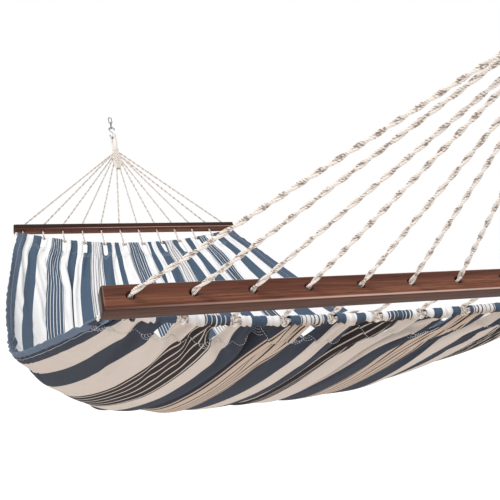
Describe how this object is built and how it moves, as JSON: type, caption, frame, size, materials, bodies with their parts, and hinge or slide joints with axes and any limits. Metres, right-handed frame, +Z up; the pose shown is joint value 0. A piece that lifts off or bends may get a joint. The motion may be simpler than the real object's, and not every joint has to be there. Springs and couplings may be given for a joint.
{
  "type": "fabric hammock with spreader bars",
  "caption": "Striped cloth hammock held open by drilled wooden spreader bars, with rope harnesses, woven clews, S-hooks and chain links at both ends.",
  "frame": {"origin": "where the near support bears inside the near top link, in the middle of its width", "axes": "+Y towards the far support, +X along the spreader bars, +Z up"},
  "size_m": [1.09, 3.1149, 0.9624],
  "materials": {
    "cloth": "woven cotton, navy and ecru stripes with pinstriped bands",
    "rope": "cream twisted rope with brown flecks",
    "wood": "dark walnut stain, satin, grain visible",
    "zinc": "zinc plated wire"
  },
  "bodies": {
    "anchors": {"near_top_link": "zinc", "far_top_link": "zinc"},
    "near_link": {"near_lower_link": "zinc"},
    "far_link": {"far_lower_link": "zinc"},
    "near_hook": {"near_s_hook": "zinc"},
    "far_hook": {"far_s_hook": "zinc"},
    "hammock": {"bed_cloth": "cloth", "near_loop": "rope", "near_clew": "rope", "near_hem_cord": "rope", "near_rope_01": "rope", "near_rope_02": "rope", "near_rope_03": "rope", "near_rope_04": "rope", "near_rope_05": "rope", "near_rope_06": "rope", "near_rope_07": "rope", "near_rope_08": "rope", "near_rope_09": "rope", "near_rope_10": "rope", "near_rope_11": "rope", "near_rope_12": "rope", "far_loop": "rope", "far_clew": "rope", "far_hem_cord": "rope", "far_rope_01": "rope", "far_rope_02": "rope", "far_rope_03": "rope", "far_rope_04": "rope", "far_rope_05": "rope", "far_rope_06": "rope", "far_rope_07": "rope", "far_rope_08": "rope", "far_rope_09": "rope", "far_rope_10": "rope", "far_rope_11": "rope", "far_rope_12": "rope"},
    "near_bar": {"near_spreader_bar": "wood"},
    "far_bar": {"far_spreader_bar": "wood"}
  },
  "joints": [
    {"name": "near_link_swing", "type": "hinge", "parent": "anchors", "child": "near_link", "pos_m": [0, 0.01965, -0.023], "axis": [0, 1, 0], "range_deg": [-12, 12]},
    {"name": "near_hook_swing", "type": "hinge", "parent": "near_link", "child": "near_hook", "pos_m": [0, 0.04666, -0.05464], "axis": [0, 1, 0], "range_deg": [-12, 12]},
    {"name": "bed_swing", "type": "hinge", "parent": "near_hook", "child": "hammock", "pos_m": [0, 0.07839, -0.09178], "axis": [0, 1, 0], "range_deg": [-10, 10]},
    {"name": "far_link_swing", "type": "hinge", "parent": "anchors", "child": "far_link", "pos_m": [0, 3.08786, -0.023], "axis": [0, 1, 0], "range_deg": [-12, 12]},
    {"name": "far_hook_swing", "type": "hinge", "parent": "far_link", "child": "far_hook", "pos_m": [0, 3.06085, -0.05464], "axis": [0, 1, 0], "range_deg": [-12, 12]},
    {"name": "near_bar_roll", "type": "hinge", "parent": "hammock", "child": "near_bar", "pos_m": [0, 0.44176, -0.51723], "axis": [1, 0, 0], "range_deg": [-6, 6], "stiffness_Nm_per_rad": 0.5},
    {"name": "far_bar_roll", "type": "hinge", "parent": "hammock", "child": "far_bar", "pos_m": [0, 2.66575, -0.51723], "axis": [1, 0, 0], "range_deg": [-6, 6], "stiffness_Nm_per_rad": 0.5}
  ],
  "couplings": [
    {"joint": "far_link_swing", "follows": "near_link_swing", "ratio": 1},
    {"joint": "far_hook_swing", "follows": "near_hook_swing", "ratio": 1}
  ]
}
